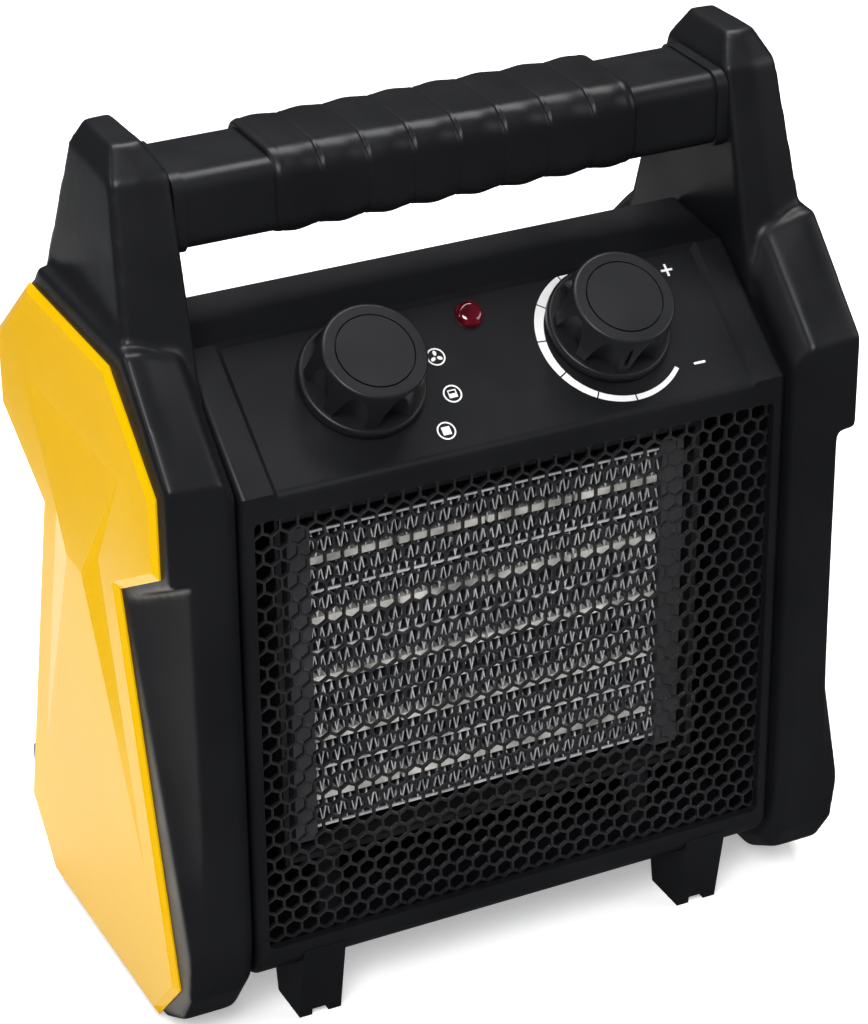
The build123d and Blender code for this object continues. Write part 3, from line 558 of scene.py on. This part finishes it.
# Minus at the low end and plus at the high end.
MINUS_MARK = (70.6, 12.9)
PLUS_MARK = (73.6, 48.2)
SIGN_LENGTH = 4.2
SIGN_LINE = 0.8
ARM_LENGTH = 1.9
ARM_OUT = 1.35
signs = []
for mark in (MINUS_MARK, PLUS_MARK):
    signs.append(bar(mark, SIGN_LENGTH, SIGN_LINE))
for side in (1, -1):
    signs.append(bar((PLUS_MARK[0], PLUS_MARK[1] + side * ARM_OUT), SIGN_LINE, ARM_LENGTH))
printed("range_signs", signs)

# ---------------------------------------------------------------- camera, lights and floor

CAMERA_TARGET = Vector((0.0057, 0.0030, 0.1396))
CAMERA_DISTANCE = 1.1806
CAMERA_AZIMUTH = math.radians(-25.88)
CAMERA_ELEVATION = math.radians(28.20)
CAMERA_ROLL = math.radians(-0.55)
CAMERA_LENS = 120.0
SENSOR_WIDTH = 36.0

back = Vector((
    math.sin(CAMERA_AZIMUTH) * math.cos(CAMERA_ELEVATION),
    -math.cos(CAMERA_AZIMUTH) * math.cos(CAMERA_ELEVATION),
    math.sin(CAMERA_ELEVATION),
))
level = Vector((math.cos(CAMERA_AZIMUTH), math.sin(CAMERA_AZIMUTH), 0))
turn = Matrix.Rotation(CAMERA_ROLL, 3, back)
right = turn @ level
up = turn @ back.cross(level)
camera = bpy.data.objects.new("camera", bpy.data.cameras.new("camera"))
camera.data.lens = CAMERA_LENS
camera.data.sensor_width = SENSOR_WIDTH
facing = Matrix((right, up, back)).transposed().to_4x4()
camera.matrix_world = Matrix.Translation(CAMERA_TARGET + back * CAMERA_DISTANCE) @ facing
bpy.context.scene.collection.objects.link(camera)
bpy.context.scene.camera = camera


def area_light(name, place, aim, size, power):
    """Rectangular light at place that points at aim, in metres and watts."""
    data = bpy.data.lights.new(name, "AREA")
    data.shape = "RECTANGLE"
    data.size, data.size_y = size
    data.energy = power
    light = bpy.data.objects.new(name, data)
    light.location = place
    light.rotation_euler = (Vector(aim) - Vector(place)).to_track_quat("-Z", "Y").to_euler()
    bpy.context.scene.collection.objects.link(light)


# Each light: name, place, the point it is aimed at, size and power.
LIGHTS = (
    ("key", (-0.9, -1.5, 1.9), (0, 0, 0.15), (1.1, 1.1), 54),
    ("fill", (1.7, -1.0, 1.2), (0, 0, 0.15), (1.2, 1.2), 13),
    ("top", (0.1, 0.6, 2.1), (0, 0, 0.2), (2.0, 1.2), 66),
    ("left", (-1.9, 0.3, 1.1), (0, 0, 0.15), (1.2, 0.8), 10),
)
for light in LIGHTS:
    area_light(*light)

SKY_COLOUR = (0.93, 0.95, 1.0, 1)
SKY_STRENGTH = 0.07
world = bpy.data.worlds.new("studio")
world.use_nodes = True
world.node_tree.nodes["Background"].inputs["Color"].default_value = SKY_COLOUR
world.node_tree.nodes["Background"].inputs["Strength"].default_value = SKY_STRENGTH
bpy.context.scene.world = world
bpy.context.scene.view_settings.view_transform = "Standard"


def studio_paper(name, corners, faces, glow, in_gloss):
    """White studio paper that no part of the heater mirrors, unless in_gloss is set."""
    mesh = bpy.data.meshes.new(name)
    mesh.from_pydata(corners, [], faces)
    paper = bpy.data.objects.new(name, mesh)
    bpy.context.scene.collection.objects.link(paper)
    paper.visible_glossy = in_gloss
    material, tree, shader, vector = new_material(name)
    patches = noise(tree, vector, 3.0, 3.0)
    tree.links.new(ramp(tree, patches, (0.86, 0.86, 0.86), (0.9, 0.9, 0.9)), shader.inputs["Base Color"])
    shader.inputs["Roughness"].default_value = 0.7
    shader.inputs["Emission Color"].default_value = (1, 1, 1, 1)
    shader.inputs["Emission Strength"].default_value = glow
    mesh.materials.append(material)
    return paper


def rectangle(left, front, right, back, height):
    return [(left, front, height), (right, front, height), (right, back, height), (left, back, height)]


ONE_FACE = [(0, 1, 2, 3)]
FLOOR_HALF = 6.0
FLOOR_GLOW = 0.4
whole_floor = rectangle(-FLOOR_HALF, -FLOOR_HALF, FLOOR_HALF, FLOOR_HALF, 0.0)
studio_paper("floor", whole_floor, ONE_FACE, FLOOR_GLOW, False)
# Only this strip of the floor is mirrored, in the lower half of the left side panel.
STRIP_EDGES = (-0.226, -0.07, -0.128, 0.9)
STRIP_LIFT = 0.0001
STRIP_GLOW = 0.2
studio_paper("floor_strip", rectangle(*STRIP_EDGES, STRIP_LIFT), ONE_FACE, STRIP_GLOW, True)

WALL_SIDES = 48
WALL_RADIUS = 3.2
WALL_HEIGHT = 5.0
WALL_GLOW = 0.8
foot = []
head = []
for side in range(WALL_SIDES):
    angle = 2 * math.pi * side / WALL_SIDES
    foot.append((WALL_RADIUS * math.cos(angle), WALL_RADIUS * math.sin(angle), 0.0))
    head.append((WALL_RADIUS * math.cos(angle), WALL_RADIUS * math.sin(angle), WALL_HEIGHT))
panels = []
for side in range(WALL_SIDES):
    after = (side + 1) % WALL_SIDES
    panels.append((side, after, after + WALL_SIDES, side + WALL_SIDES))
wall = studio_paper("wall", foot + head, panels, WALL_GLOW, False)
wall.visible_diffuse = False
wall.visible_shadow = False
